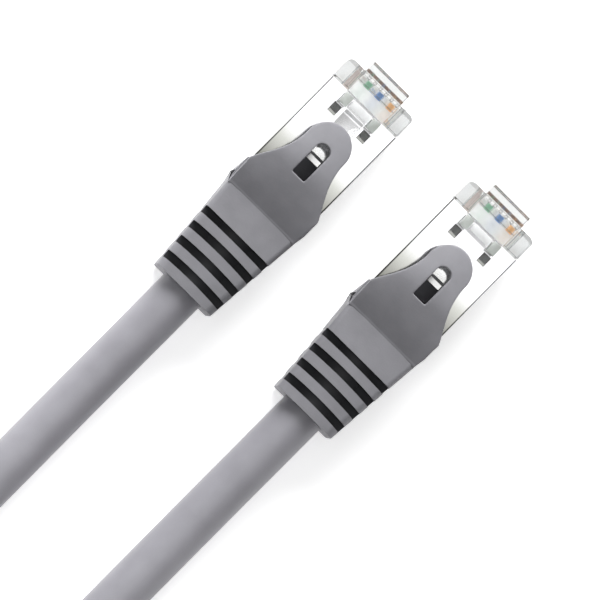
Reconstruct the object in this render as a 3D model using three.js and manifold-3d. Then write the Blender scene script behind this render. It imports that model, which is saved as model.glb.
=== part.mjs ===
// Shielded ethernet patch cable: two 8-position plugs side by side, latch side up, joined by one
// round cord whose middle is folded into a tied hank behind them. Millimetres, +Z up, +Y towards
// the plugs' noses, +X to the right seen from above. Everything lies on z = 0.
import * as THREE from 'three';
import { mergeVertices } from 'three/addons/utils/BufferGeometryUtils.js';
import Module from 'manifold-3d';

const wasm = await Module();
wasm.setup();

// ---- Driving dimensions -------------------------------------------------------------------
const GAP = 0.3; // between pieces that meet face to face
const FINE_GAP = 0.2; // between nested straight-sided pieces
const PLUG_X = 11.25; // each plug's axis from the middle plane
const PLUG_B_BACK = 0.26; // the right plug lies this much further back

const BODY_W = 11.7; // plug body across, shield included
const BODY_H = 6.6; // plug body thickness, latch left out
const AXIS_Z = 5.2; // height of the cord's axis, and of the plug's middle
const NOSE_Y = 1.57; // the central nose block stands out this far past the corner blocks
const NOSE_W = 6.4;
const NOSE_RISE = 1.2; // nose block above the body's latch face
const NOSE_BACK = -1.5; // rear of that raised part, where the latch begins
const NOSE_DEPTH = 3.2; // nose block below the latch face
const NOSE_ROOT = 0.8; // how far its lower part runs into the body
const CORNER_R = 0.9; // body's front corners, in plan
const BEVEL = 0.65; // along the front edge of the latch face
const EAR_W = 2.2; // corner block width, beside its slit
const SHIELD_Y = -3.53; // front edge of the shield
const SHIELD_REAR = -21.6;
const SHIELD_WALL = 0.3;
const HOUSING_REAR = -20.9;
const WINDOW_X = 2.65; // middle of each window beside the lever
const WINDOW_W = 1.25;
const WINDOW_Y = -5.7; // front edge of the windows
const WINDOW_REAR = -7.2;
const SLIT_W = 0.3; // between each corner block and the middle
const SLIT_DEPTH = 1.1;

const WIRE_ROOM_W = 8.5; // flat room for the row of conductors
const WIRE_ROOM_H = 1.2;
const REAR_ROOM_W = 9.6; // wider room behind it
const REAR_ROOM_H = 4.8;
const BAR_W = 9.1; // load bar
const BAR_H = 2.0;
const BAR_Y = -4.5;
const BAR_REAR = -10;
const BAR_WALL = 0.4;

const PITCH = 1.02; // of contacts and conductors
const WAYS = 8;
const BLADE_T = 0.36;
const SLOT_W = 0.66;
const WIRE_R = 0.45;
const WIRE_TIP_Y = -0.9;
const LAY_R = 1.75; // radius of the ring on which the conductors leave the jacket

const LATCH_W = 6.2;
const LATCH_FRONT = -1.8;
const LATCH_LOW = 8.85; // underside of its root
const LATCH_FACE = 10.5; // its top at the shoulders
const LEVER_W = 3.1;
const LEVER_T = 0.8;
const LATCH_END = -13.8;
const LATCH_END_Z = 11.9; // top of the lever's free end
const SHOULDER_Y = -5.5;
const PAD_W = 1.25;
const PAD_Y = -3.8;
const PAD_TOP = 10.95;

const CORD_D = 6.4;
const JACKET_Y = -21.9; // where the jacket ends inside the boot
const RING_R = 3.85; // inside of the shield's crimp ring
const RING_WALL = 0.4;
const RING_FRONT = -23.0;
const RING_REAR = -26.4;
const ARM_H = 2.4; // height of the two arms that join the ring to the shield
const BRAID_R = 3.4;
const BRAID_WALL = 0.25;

const COLLAR_Y = -18.9; // front edge of the boot, at its top
const COLLAR_LOW_Y = -21.3; // and lower down, past a slanting edge
const COLLAR_LOW_Z = 2.6;
const BOOT_W = 12.6;
const CREASE_W = 12.0;
const GROOVE_BOOT_W = 11.3; // boot across at its first groove
const CREASE_Y = -22.9; // where the tongue leaves the boot
const BOOT_END = -37.2;
const BOOT_TOP = 10.4;
const BOOT_END_TOP = 9.8;
const BOOT_END_W = 9.9;
const SHELF_Z = 9.25; // top of the boot under its tongue
const GROOVES = 4;
const GROOVE_Y = -27.25; // front edge of the first groove
const GROOVE_PITCH = 2.54;
const GROOVE_W = 1.15;
const RAIL_H = 5.0; // height of the rails that join the boot's rings at its sides
const TAB_W = 4.4; // boot's thin tab under the tongue's slot
const TAB_Y = -12.5;
const TAB_TOP = 8.9;
const TONGUE_TIP = -7.55;
const TONGUE_R = 3.25;
const TONGUE_T = 1.1;
const TONGUE_SLOT_R = 1.1;
const TONGUE_SLOT_FRONT = -10.75;
const TONGUE_SLOT_REAR = -16.35;
const TONGUE_ROOT_X = 6.0; // half its width at the crease
const TONGUE_CORNER_X = 6.2; // half its width at its widest

const FOLD_R = 20.8; // innermost turn of the hank, about its end's middle
const HANK_Y = -116.9; // middle of the hank's near end, in the left plug's frame
const HANK_RUN = 35.5; // straight part of the hank
const TIE_T = 0.5;
const TIE_W = 8.0;

// ---- Worked-out values --------------------------------------------------------------------
const BODY_TOP = AXIS_Z + BODY_H / 2;
const BODY_LOW = AXIS_Z - BODY_H / 2;
const INNER_X = BODY_W / 2 - SHIELD_WALL - FINE_GAP; // housing inside the shield
const INNER_TOP = BODY_TOP - SHIELD_WALL - FINE_GAP;
const INNER_LOW = BODY_LOW + SHIELD_WALL + FINE_GAP;
const STEP_Y = SHIELD_Y + GAP; // the housing's full section ends here
const MIDDLE_Y = (NOSE_Y + BOOT_END - PLUG_B_BACK) / 2; // of both plugs' box
const LEAD_R = CORD_D / 2;
const HANK_IN = FOLD_R - LEAD_R;
const HANK_OUT = FOLD_R + 1.5 * CORD_D;
const HANK_LOW = TIE_T + GAP;
const HANK_TOP = TIE_T + 2 * CORD_D;

// The left lead's axis, from the jacket's end in the boot to the hank, in the left plug's frame
// with x from the middle plane. The right lead is its mirror image, and starts PLUG_B_BACK later.
const LEAD = [
  [-11.25, JACKET_Y, AXIS_Z],
  [-11.25, -26, 5.2],
  [-11.25, -32, 5.2],
  [-11.25, -38, 5.15],
  [-11.25, -45, 4.6],
  [-11.25, -52, 3.85],
  [-11.25, -59, 3.35],
  [-11.25, -66, 3.2],
  [-11.25, -73, 3.2],
  [-11.25, -79.1, 3.2],
  [-11.75, -84.2, 3.2],
  [-13.3, -89.0, 3.25],
  [-15.7, -93.5, 3.35],
  [-19.0, -97.4, 3.5],
  [-22.5, -101.6, 3.65],
  [-25.1, -106.3, 3.7],
  [-26.7, -111.5, 3.7],
  [-27.2, HANK_Y, 3.7],
];
const LEAD_STEPS = 30;

// ---- Solids -------------------------------------------------------------------------------
function toSolid(geometry) {
  const bare = geometry.index ? geometry.toNonIndexed() : geometry.clone();
  bare.deleteAttribute('normal');
  bare.deleteAttribute('uv');
  const welded = mergeVertices(bare, 1e-4);
  const mesh = new wasm.Mesh({
    numProp: 3,
    vertProperties: new Float32Array(welded.attributes.position.array),
    triVerts: new Uint32Array(welded.index.array),
  });
  return new wasm.Manifold(mesh);
}

function toGeometry(solid) {
  const mesh = solid.getMesh();
  const geometry = new THREE.BufferGeometry();
  geometry.setAttribute('position', new THREE.BufferAttribute(mesh.vertProperties, 3));
  geometry.setIndex(new THREE.BufferAttribute(mesh.triVerts, 1));
  geometry.computeVertexNormals();
  return geometry;
}

function box(x0, x1, y0, y1, z0, z1) {
  const geometry = new THREE.BoxGeometry(x1 - x0, y1 - y0, z1 - z0);
  geometry.translate((x0 + x1) / 2, (y0 + y1) / 2, (z0 + z1) / 2);
  return toSolid(geometry);
}

// A box centred on x = 0.
function block(width, y0, y1, z0, z1) {
  return box(-width / 2, width / 2, y0, y1, z0, z1);
}

// A box centred on x = 0 and on the height of the cord's axis.
function room(width, y0, y1, height) {
  return block(width, y0, y1, AXIS_Z - height / 2, AXIS_Z + height / 2);
}

function outline(points) {
  return new THREE.Shape(points.map(([a, b]) => new THREE.Vector2(a, b)));
}

function extruded(shape, depth, segments) {
  return new THREE.ExtrudeGeometry(shape, { depth, bevelEnabled: false, curveSegments: segments });
}

// A plan outline in (x, y), raised from z0 to z1.
function fromPlan(shape, z0, z1, segments = 6) {
  const geometry = extruded(shape, z1 - z0, segments);
  geometry.translate(0, 0, z0);
  return toSolid(geometry);
}

// A side outline in (y, z), centred on x = 0.
function fromSide(points, width, centre = 0) {
  const geometry = extruded(outline(points), width, 1);
  const turn = new THREE.Matrix4().makeBasis(
    new THREE.Vector3(0, 1, 0),
    new THREE.Vector3(0, 0, 1),
    new THREE.Vector3(1, 0, 0),
  );
  geometry.applyMatrix4(turn);
  geometry.translate(centre - width / 2, 0, 0);
  return toSolid(geometry);
}

// A round bar along y, about the cord's axis.
function roundBar(radius, y0, y1, sides = 24) {
  const geometry = new THREE.CylinderGeometry(radius, radius, y1 - y0, sides);
  geometry.translate(0, (y0 + y1) / 2, AXIS_Z);
  return toSolid(geometry);
}

function mirrored(points) {
  return points.concat(points.map(([x, y]) => [-x, y]).reverse());
}

// ---- Plug pieces --------------------------------------------------------------------------
function wayX(way) {
  return ((WAYS + 1) / 2 - way) * PITCH; // way 1 is on the right, latch side up, nose away
}

function makeHousing() {
  const half = BODY_W / 2;
  const plan = new THREE.Shape();
  plan.moveTo(-half, STEP_Y);
  plan.lineTo(half, STEP_Y);
  plan.lineTo(half, -CORNER_R);
  plan.absarc(half - CORNER_R, -CORNER_R, CORNER_R, 0, Math.PI / 2);
  plan.lineTo(-half + CORNER_R, 0);
  plan.absarc(-half + CORNER_R, -CORNER_R, CORNER_R, Math.PI / 2, Math.PI);
  const bevelled = [
    [STEP_Y, BODY_LOW],
    [0, BODY_LOW],
    [0, BODY_TOP - BEVEL],
    [-BEVEL, BODY_TOP],
    [STEP_Y, BODY_TOP],
  ];
  const front = fromPlan(plan, BODY_LOW, BODY_TOP, 4).intersect(fromSide(bevelled, BODY_W));
  const noseLow = BODY_TOP - NOSE_DEPTH;
  const noseTop = BODY_TOP + NOSE_RISE;
  const nose = fromSide([
    [-NOSE_ROOT, noseLow],
    [NOSE_Y - 0.4, noseLow],
    [NOSE_Y, noseLow + 0.4],
    [NOSE_Y, noseTop - 0.5],
    [NOSE_Y - 0.5, noseTop],
    [NOSE_BACK, noseTop],
    [NOSE_BACK, BODY_TOP - BEVEL],
    [-NOSE_ROOT, BODY_TOP - BEVEL],
  ], NOSE_W);
  const tail = block(2 * INNER_X, HOUSING_REAR, STEP_Y + 0.2, INNER_LOW, INNER_TOP);
  const contactPad = block(9.0, -5.4, STEP_Y + 0.2, BODY_LOW, AXIS_Z);
  let solid = front.add(nose).add(tail).add(contactPad);
  for (const side of [-1, 1]) {
    const slitX = side * (half - EAR_W - 0.2);
    const slit = box(
      slitX - SLIT_W / 2,
      slitX + SLIT_W / 2,
      STEP_Y + 0.4,
      0.1,
      BODY_TOP - SLIT_DEPTH,
      BODY_TOP + 0.5,
    );
    solid = solid.subtract(slit);
  }
  for (let way = 1; way <= WAYS; way += 1) {
    const x = wayX(way);
    const slot = box(x - SLOT_W / 2, x + SLOT_W / 2, -4.0, 0.1, BODY_LOW - 0.1, 4.7);
    solid = solid.subtract(slot);
  }
  const wireRoom = room(WIRE_ROOM_W, BAR_Y, WIRE_TIP_Y + GAP, WIRE_ROOM_H);
  const barRoom = room(REAR_ROOM_W, BAR_REAR - 1, BAR_Y + GAP, BAR_H + 2 * GAP);
  const rearRoom = room(REAR_ROOM_W, HOUSING_REAR - 0.1, BAR_REAR - 0.9, REAR_ROOM_H);
  return solid.subtract(wireRoom).subtract(barRoom).subtract(rearRoom);
}

function makeShield() {
  const outer = block(BODY_W, SHIELD_REAR, SHIELD_Y, BODY_LOW, BODY_TOP);
  const inner = block(
    BODY_W - 2 * SHIELD_WALL,
    SHIELD_REAR + SHIELD_WALL,
    SHIELD_Y + 0.1,
    BODY_LOW + SHIELD_WALL,
    BODY_TOP - SHIELD_WALL,
  );
  const contactNotch = block(9.5, -5.7, SHIELD_Y + 0.1, BODY_LOW - 0.1, BODY_LOW + 0.6);
  const ring = roundBar(RING_R + RING_WALL, RING_REAR, RING_FRONT);
  const bore = roundBar(RING_R, RING_REAR - 0.1, SHIELD_REAR + SHIELD_WALL + 0.1);
  let solid = outer.subtract(inner).subtract(contactNotch).add(ring).subtract(bore);
  for (const side of [-1, 1]) {
    const window = box(
      side * WINDOW_X - WINDOW_W / 2,
      side * WINDOW_X + WINDOW_W / 2,
      WINDOW_REAR,
      WINDOW_Y,
      BODY_TOP - SHIELD_WALL - 0.1,
      BODY_TOP + 0.1,
    );
    const middle = side * (RING_R + RING_WALL / 2);
    const arm = room(RING_WALL, RING_FRONT - 0.1, SHIELD_REAR + 0.1, ARM_H);
    solid = solid.subtract(window).add(arm.translate([middle, 0, 0]));
  }
  return solid;
}

function makeLatch() {
  const half = LATCH_W / 2;
  const wide = fromSide([
    [LATCH_FRONT, LATCH_LOW],
    [LATCH_FRONT, 9.75],
    [-3.7, 10.3],
    [SHOULDER_Y, LATCH_FACE],
    [SHOULDER_Y, LATCH_FACE - LEVER_T],
  ], LATCH_W);
  const lever = fromSide([
    [-5.2, LATCH_FACE - LEVER_T],
    [-5.2, LATCH_FACE],
    [LATCH_END, LATCH_END_Z],
    [LATCH_END, LATCH_END_Z - LEVER_T],
  ], LEVER_W);
  let solid = wide.add(lever);
  for (const side of [-1, 1]) {
    const pad = fromSide([
      [PAD_Y, 10.2],
      [PAD_Y, 10.55],
      [-4.9, PAD_TOP],
      [SHOULDER_Y, PAD_TOP],
      [SHOULDER_Y, 10.3],
    ], PAD_W, side * (half - PAD_W / 2));
    solid = solid.add(pad);
  }
  return solid;
}

function makeLoadBar() {
  const bar = room(BAR_W, BAR_REAR, BAR_Y, BAR_H);
  const inside = room(BAR_W - 2 * BAR_WALL, BAR_REAR - 0.1, BAR_Y + 0.1, BAR_H - 2 * BAR_WALL);
  return bar.subtract(inside);
}

function makeContact(way) {
  return fromSide([
    [-0.8, 2.6],
    [-1.35, 2.05],
    [-3.7, 2.05],
    [-3.7, 4.55],
    [-3.2, 3.9],
    [-2.7, 4.55],
    [-2.2, 3.9],
    [-1.7, 4.55],
    [-1.2, 3.9],
    [-0.8, 4.3],
  ], BLADE_T, wayX(way));
}

// Conductors lie in one flat row in the plug and leave the jacket on a ring, so that each two
// neighbours share a place across and part one above the other.
function makeConductor(way) {
  const pair = Math.floor((way - 1) / 2);
  const angle = ((pair + 0.5) * Math.PI) / 4;
  const up = way % 2 === 0 ? 1 : -1;
  const endX = LAY_R * Math.cos(angle);
  const endZ = AXIS_Z + up * LAY_R * Math.sin(angle);
  const from = new THREE.Vector3(wayX(way), -11.2, AXIS_Z);
  const to = new THREE.Vector3(endX, -18.5, endZ);
  const path = new THREE.CurvePath();
  path.add(new THREE.LineCurve3(new THREE.Vector3(from.x, WIRE_TIP_Y, AXIS_Z), from));
  path.add(new THREE.CubicBezierCurve3(
    from,
    new THREE.Vector3(from.x, -14.2, from.z),
    new THREE.Vector3(to.x, -15.5, to.z),
    to,
  ));
  path.add(new THREE.LineCurve3(to, new THREE.Vector3(to.x, JACKET_Y + GAP, to.z)));
  return tube(path, WIRE_R, 6, 12);
}

function tube(path, radius, sides, steps) {
  const section = new THREE.Shape();
  for (let side = 0; side < sides; side += 1) {
    const angle = (2 * Math.PI * side) / sides;
    const method = side === 0 ? 'moveTo' : 'lineTo';
    section[method](radius * Math.cos(angle), radius * Math.sin(angle));
  }
  const geometry = new THREE.ExtrudeGeometry(section, { steps, extrudePath: path });
  return toSolid(geometry);
}

function makeBraid() {
  const y0 = RING_REAR + 0.4;
  const y1 = RING_FRONT - 0.1;
  const bar = roundBar(BRAID_R + BRAID_WALL, y0, y1);
  return bar.subtract(roundBar(BRAID_R, y0 - 0.1, y1 + 0.1));
}

// ---- Boot ---------------------------------------------------------------------------------
function makeBoot() {
  const plan = outline(mirrored([
    [BOOT_END_W / 2, BOOT_END],
    [GROOVE_BOOT_W / 2, GROOVE_Y],
    [CREASE_W / 2, CREASE_Y],
    [BOOT_W / 2, COLLAR_LOW_Y],
    [BOOT_W / 2, COLLAR_Y],
  ]));
  const profile = [
    [BOOT_END, 0],
    [COLLAR_LOW_Y, 0],
    [COLLAR_LOW_Y, COLLAR_LOW_Z],
    [COLLAR_Y, SHELF_Z],
    [CREASE_Y + GAP, SHELF_Z],
    [CREASE_Y, SHELF_Z + 0.35],
    [CREASE_Y, BOOT_TOP],
    [GROOVE_Y, BOOT_TOP],
    [BOOT_END, BOOT_END_TOP],
  ];
  let solid = fromPlan(plan, 0, BOOT_TOP).intersect(fromSide(profile, BOOT_W + 1));
  const mouth = block(
    BODY_W + 2 * FINE_GAP,
    SHIELD_REAR - GAP,
    COLLAR_Y + 0.1,
    BODY_LOW - FINE_GAP,
    BODY_TOP + FINE_GAP,
  );
  const ringRoom = roundBar(RING_R + RING_WALL + GAP, RING_REAR - GAP, RING_FRONT + GAP);
  const armRoomW = 2 * (RING_R + RING_WALL + FINE_GAP);
  const armRoom = room(armRoomW, RING_FRONT, SHIELD_REAR, ARM_H + 2 * FINE_GAP);
  const bore = roundBar(LEAD_R + GAP, BOOT_END - 0.1, SHIELD_REAR);
  const tab = block(TAB_W, COLLAR_Y - 1, TAB_Y, BODY_TOP + FINE_GAP, TAB_TOP);
  solid = solid.subtract(mouth).subtract(ringRoom).subtract(armRoom).subtract(bore);
  for (let groove = 0; groove < GROOVES; groove += 1) {
    const y1 = GROOVE_Y - groove * GROOVE_PITCH;
    const y0 = y1 - GROOVE_W;
    solid = solid.subtract(block(BOOT_W, y0, y1, AXIS_Z + RAIL_H / 2, BOOT_TOP + 1));
    solid = solid.subtract(block(BOOT_W, y0, y1, -1, AXIS_Z - RAIL_H / 2));
  }
  return solid.add(tab);
}

function makeTongue() {
  const root = CREASE_Y + GAP;
  const plan = new THREE.Shape();
  plan.moveTo(TONGUE_ROOT_X, root);
  plan.lineTo(TONGUE_CORNER_X, COLLAR_Y);
  plan.bezierCurveTo(5.1, -16.6, TONGUE_R + 0.3, -15.1, TONGUE_R, -11.7);
  plan.lineTo(TONGUE_R, TONGUE_TIP - TONGUE_R);
  plan.absarc(0, TONGUE_TIP - TONGUE_R, TONGUE_R, 0, Math.PI);
  plan.lineTo(-TONGUE_R, -11.7);
  plan.bezierCurveTo(-TONGUE_R - 0.3, -15.1, -5.1, -16.6, -TONGUE_CORNER_X, COLLAR_Y);
  plan.lineTo(-TONGUE_ROOT_X, root);
  const slot = new THREE.Path();
  slot.absarc(0, TONGUE_SLOT_FRONT - TONGUE_SLOT_R, TONGUE_SLOT_R, 0, Math.PI);
  slot.lineTo(-TONGUE_SLOT_R, TONGUE_SLOT_REAR);
  slot.lineTo(TONGUE_SLOT_R, TONGUE_SLOT_REAR);
  plan.holes.push(slot);
  const top = [
    [TONGUE_TIP, 12.35],
    [-10.7, 13.1],
    [-13.2, 13.5],
    [-15.2, 13.45],
    [-17.7, 12.7],
    [root, BOOT_TOP],
  ];
  const under = top.map(([y, z]) => [y, z - TONGUE_T]).reverse();
  const profile = top.concat(under).reverse();
  return fromPlan(plan, 8, 15, 10).intersect(fromSide(profile, BOOT_W + 1));
}

// ---- Cord ---------------------------------------------------------------------------------
// The hank's outer shape, two straight sides and round ends, open in the middle. The same shape
// grown sideways, and taller than the leads, cuts the leads where they meet it.
function makeHank(grow, low, top) {
  const far = HANK_Y - HANK_RUN;
  const loop = (Path, radius) => {
    const path = new Path();
    path.absarc(0, HANK_Y, radius, 0, Math.PI);
    path.absarc(0, far, radius, Math.PI, 2 * Math.PI);
    return path;
  };
  const shape = loop(THREE.Shape, HANK_OUT + grow);
  shape.holes.push(loop(THREE.Path, HANK_IN - grow));
  return fromPlan(shape, low, top, 14);
}

function makeLead(side, back) {
  const points = LEAD.map(([x, y, z], index) => (
    new THREE.Vector3(-side * x, index < 9 ? y - back : y, z)
  ));
  const path = new THREE.CatmullRomCurve3(points, false, 'centripetal');
  return tube(path, LEAD_R, 10, LEAD_STEPS).subtract(makeHank(GAP, -1, HANK_TOP));
}

function makeTie(side) {
  const y = HANK_Y - HANK_RUN / 2;
  const bundle = FOLD_R + CORD_D / 2;
  const reach = CORD_D + GAP;
  const ring = (grow, length, low) => box(
    side * bundle - reach - grow,
    side * bundle + reach + grow,
    y - length / 2,
    y + length / 2,
    low,
    HANK_TOP + GAP + grow,
  );
  return ring(TIE_T, TIE_W, 0).subtract(ring(0, TIE_W + 1, TIE_T));
}

// ---- Materials ----------------------------------------------------------------------------
const finish = (color, roughness, metalness = 0) => ({ color, roughness, metalness });
const CLEAR = finish(0xdfe4e6, 0.15);
const METAL = finish(0xd8d8da, 0.28, 1);
const GOLD = finish(0xd9b04c, 0.25, 1);
const BOOT_GREY = finish(0x7c7a80, 0.55);
const TONGUE_GREY = finish(0x747278, 0.55);
const CORD_GREY = finish(0x9a989c, 0.5);
const BRAID_TIN = finish(0xb9b9bc, 0.4, 1);
const BAR_WHITE = finish(0xeeeeea, 0.4);
const TIE_BLACK = finish(0x2a2a2c, 0.7);
const WIRE_COLOURS = [0xf0b98a, 0xe8861c, 0xb4d9b4, 0x2f66b8, 0xa9c1e6, 0x2f9a4e, 0xc9a98c, 0x7a4a26];

// ---- Assembly -----------------------------------------------------------------------------
function addPiece(group, name, solid, { color, roughness, metalness }) {
  const material = new THREE.MeshStandardMaterial({ color, roughness, metalness });
  const mesh = new THREE.Mesh(toGeometry(solid), material);
  mesh.name = name;
  group.add(mesh);
}

function makeEnd(letter, side, back) {
  const end = new THREE.Group();
  end.position.set(side * PLUG_X, -back, 0);
  addPiece(end, `housing_${letter}`, makeHousing(), CLEAR);
  addPiece(end, `latch_${letter}`, makeLatch(), CLEAR);
  addPiece(end, `shield_${letter}`, makeShield(), METAL);
  addPiece(end, `load_bar_${letter}`, makeLoadBar(), BAR_WHITE);
  for (let way = 1; way <= WAYS; way += 1) {
    addPiece(end, `contact_${letter}_${way}`, makeContact(way), GOLD);
  }
  for (let way = 1; way <= WAYS; way += 1) {
    const colour = finish(WIRE_COLOURS[way - 1], 0.4);
    addPiece(end, `conductor_${letter}_${way}`, makeConductor(way), colour);
  }
  addPiece(end, `braid_${letter}`, makeBraid(), BRAID_TIN);
  addPiece(end, `boot_${letter}`, makeBoot(), BOOT_GREY);
  addPiece(end, `tongue_${letter}`, makeTongue(), TONGUE_GREY);
  return end;
}

const cable = new THREE.Group();
cable.position.set(0, -MIDDLE_Y, 0);
cable.add(makeEnd('a', -1, 0));
cable.add(makeEnd('b', 1, PLUG_B_BACK));
addPiece(cable, 'lead_a', makeLead(-1, 0), CORD_GREY);
addPiece(cable, 'lead_b', makeLead(1, PLUG_B_BACK), CORD_GREY);
addPiece(cable, 'hank', makeHank(0, HANK_LOW, HANK_TOP), CORD_GREY);
addPiece(cable, 'tie_left', makeTie(-1), TIE_BLACK);
addPiece(cable, 'tie_right', makeTie(1), TIE_BLACK);

export default cable;
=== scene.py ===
import math

import bmesh
import bpy
from mathutils import Matrix, Vector


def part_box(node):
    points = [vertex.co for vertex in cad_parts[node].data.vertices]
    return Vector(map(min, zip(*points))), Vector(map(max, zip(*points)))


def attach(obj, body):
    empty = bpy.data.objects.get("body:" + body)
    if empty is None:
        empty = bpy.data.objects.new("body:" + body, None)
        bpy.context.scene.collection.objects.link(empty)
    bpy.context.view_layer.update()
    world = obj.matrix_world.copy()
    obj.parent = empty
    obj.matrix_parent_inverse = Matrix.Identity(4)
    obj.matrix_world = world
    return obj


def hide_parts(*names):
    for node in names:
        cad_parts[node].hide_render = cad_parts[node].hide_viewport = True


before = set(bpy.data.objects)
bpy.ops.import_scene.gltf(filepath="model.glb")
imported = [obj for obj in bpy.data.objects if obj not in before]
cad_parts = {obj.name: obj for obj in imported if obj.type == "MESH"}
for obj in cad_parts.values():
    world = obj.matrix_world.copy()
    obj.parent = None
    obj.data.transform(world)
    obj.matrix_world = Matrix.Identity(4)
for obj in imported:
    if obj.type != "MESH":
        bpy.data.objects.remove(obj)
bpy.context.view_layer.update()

MM = 0.001

# ---- Places and sizes, in millimetres -----------------------------------------------------
# Each end is built about its own plug: x across from the plug's axis, y along it with 0 at the
# front of the body's corner blocks, z up from the surface.
NOSE_Y = 1.57  # front of the nose block
ENDS = {}
for letter in "ab":
    low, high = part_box(f"housing_{letter}")
    ENDS[letter] = ((low[0] + high[0]) / 2 / MM, high[1] / MM - NOSE_Y)

FACE_GAP = 0.3  # between pieces that meet face to face
NEST_GAP = 0.2  # between nested pieces
OVERLAP = 0.2  # how far a piece runs into the one that it joins
OVERRUN = 0.1  # how far a cutter runs past the face or hollow that it opens into

BODY_W = 11.7  # plug body across, shield included
BODY_LOW = 1.9
BODY_TOP = 8.5  # latch face
AXIS_Z = 5.2  # cord's axis, and the plug's middle
NOSE_W = 6.4
NOSE_RISE = 1.2  # above the latch face
NOSE_DEPTH = 3.2  # below the latch face
NOSE_BACK = -1.5  # rear of the raised part
NOSE_ROOT = -0.8  # rear of the part below it
NOSE_EDGE = 0.2  # chamfer of its front edges
NOSE_STEP = 0.5  # slanted step under it, where it meets the body
CORNER_R = 0.9
FRONT_BEVEL = 0.65
EAR_W = 2.2  # corner block, beside its slit
SLIT_W = 0.3
SLIT_LOW = 7.4
BLOCK_W = 9.0  # housing's block in the opening of the shield's underside
BLOCK_REAR = -5.4
SHIELD_Y = -3.53
SHIELD_REAR = -21.6
SHIELD_WALL = 0.3
BEND_R = 0.25  # of the shield's folds
STEP_Y = SHIELD_Y + FACE_GAP  # the housing's full section ends here
HOUSING_REAR = -20.9
WINDOW_X = 2.65  # middle of each shield window beside the lever
WINDOW_W = 1.24
WINDOW_Y = -5.7
WINDOW_REAR = -7.2
LIP_W = 1.5

WAYS = 8
PITCH = 1.02  # of contacts and conductors
SLOT_W = 0.66  # contact slot
SLOT_REAR = -4.0
SLOT_TOP = 4.7
BLADE_T = 0.36
WIRE_R = 0.45
WIRE_TIP_Y = -0.6
LAY_R = 1.75  # of the ring on which the conductors leave the jacket
WIRE_ROOM_W = 8.5
WIRE_ROOM_H = 1.2
REAR_ROOM_W = 9.6
REAR_ROOM_H = 4.8
BAR_ROOM_H = 2.6
BAR_W = 9.1  # load bar
BAR_H = 2.0
BAR_WALL = 0.4
BAR_Y = -4.5
BAR_REAR = -10
BAR_ROOM_REAR = -11  # the wires' room widens behind it

LATCH_W = 6.2
LATCH_FRONT = -1.8
LATCH_LOW = 8.85
ROOT_TOP = 9.75  # top of the latch's root
FROST_REAR = -3.6  # the frosted root ends here
FROST_TOP = 10.27
SHOULDER_Y = -5.5
LATCH_FACE = 10.5
LEVER_W = 3.1
LEVER_T = 0.8
LEVER_Y = -5.2
LATCH_END = -13.8
LATCH_END_Z = 11.9
RIDGE_Y = -13.1
RIDGE_LOW = 11.6
RIDGE_Z = 12.5
RIDGE_W = 1.9
PAD_W = 1.25
PAD_Y = -3.8
PAD_TOP = 10.95

CORD_D = 6.4
JACKET_Y = -21.9  # where the jacket ends inside the boot
RING_R = 3.85  # inside of the crimp ring
RING_WALL = 0.4
RING_FRONT = -23.0
RING_REAR = -26.4
ARM_H = 2.4  # of the arms that join the ring to the shield
BRAID_R = 3.4
BRAID_WALL = 0.25

BOOT_W = 12.6
COLLAR_Y = -18.9
COLLAR_LOW_Y = -21.3
COLLAR_LOW_Z = 2.6
CREASE_Y = -22.9  # where the tongue leaves the boot
BOOT_END = -37.2
BOOT_TOP = 10.4
MOUTH_GAP = 0.12  # round the plug body in the boot's mouth
ABOVE_BOOT = 12  # clear of its top, for cutters
BELOW_BOOT = -1
BESIDE_BOOT = 8  # clear of its sides
SHELF_Z = 9.25  # boot's top under its tongue
GROOVES = 4
GROOVE_Y = -27.25
GROOVE_PITCH = 2.54
GROOVE_W = 1.15
GROOVE_BOW_X = 5.5  # half the width over which a groove's edges bow forwards
RAIL_H = 5.0  # rails that join the rings at the boot's sides
TAB_W = 4.4  # thin tab under the tongue's slot, near black as painted shade
TAB_Y = -12.5
TAB_LOW = 8.62
TAB_TOP = 8.85
TONGUE_TIP = -7.7
TONGUE_R = 3.25
TONGUE_T = 1.1
TONGUE_ROOT_X = 6.0  # half its width at the crease
TONGUE_CORNER_X = 6.2  # half its width at its widest
TONGUE_SLOT_R = 1.1
TONGUE_SLOT_Y = -12.0  # centre of the slot's round front end
TONGUE_SLOT_REAR = -16.45
KNUCKLE_R = 0.5
HINGE = (-22.75, 9.9)  # the tongue's axis: y and z

FOLD_R = 20.8  # inside of the hank's folds
HANK_Y = -116.9
HANK_RUN = 35.5  # straight part of the hank
TIE_T = 0.5
TIE_W = 8.0


# ---- Mesh helpers: everything is built in millimetres, and scaled when it is placed -------
def new_object(name, bm, *materials):
    """An object in the scene from a bmesh, which is used up."""
    bmesh.ops.recalc_face_normals(bm, faces=bm.faces)
    mesh = bpy.data.meshes.new(name)
    bm.to_mesh(mesh)
    bm.free()
    for material in materials:
        mesh.materials.append(material)
    piece = bpy.data.objects.new(name, mesh)
    bpy.context.scene.collection.objects.link(piece)
    return piece


def solid(build, *arguments, material=None, name="cutter"):
    """An object from a mesh builder and its arguments: a piece's first solid, which has a name of
    its own, or one that a boolean uses up."""
    bm = bmesh.new()
    build(bm, *arguments)
    return new_object(name, bm, *([material] if material else []))


def apply_modifiers(piece):
    graph = bpy.context.evaluated_depsgraph_get()
    mesh = bpy.data.meshes.new_from_object(piece.evaluated_get(graph))
    old = piece.data
    piece.modifiers.clear()
    piece.data = mesh
    name = old.name
    bpy.data.meshes.remove(old)
    mesh.name = name


def combine(piece, operation, others):
    """A boolean of the piece with each of the others, which are then removed."""
    for other in others:
        boolean = piece.modifiers.new("boolean", "BOOLEAN")
        boolean.operation = operation
        boolean.solver = "EXACT"
        boolean.material_mode = "TRANSFER"
        boolean.object = other
    apply_modifiers(piece)
    for other in others:
        mesh = other.data
        bpy.data.objects.remove(other)
        bpy.data.meshes.remove(mesh)
    return piece


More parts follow.
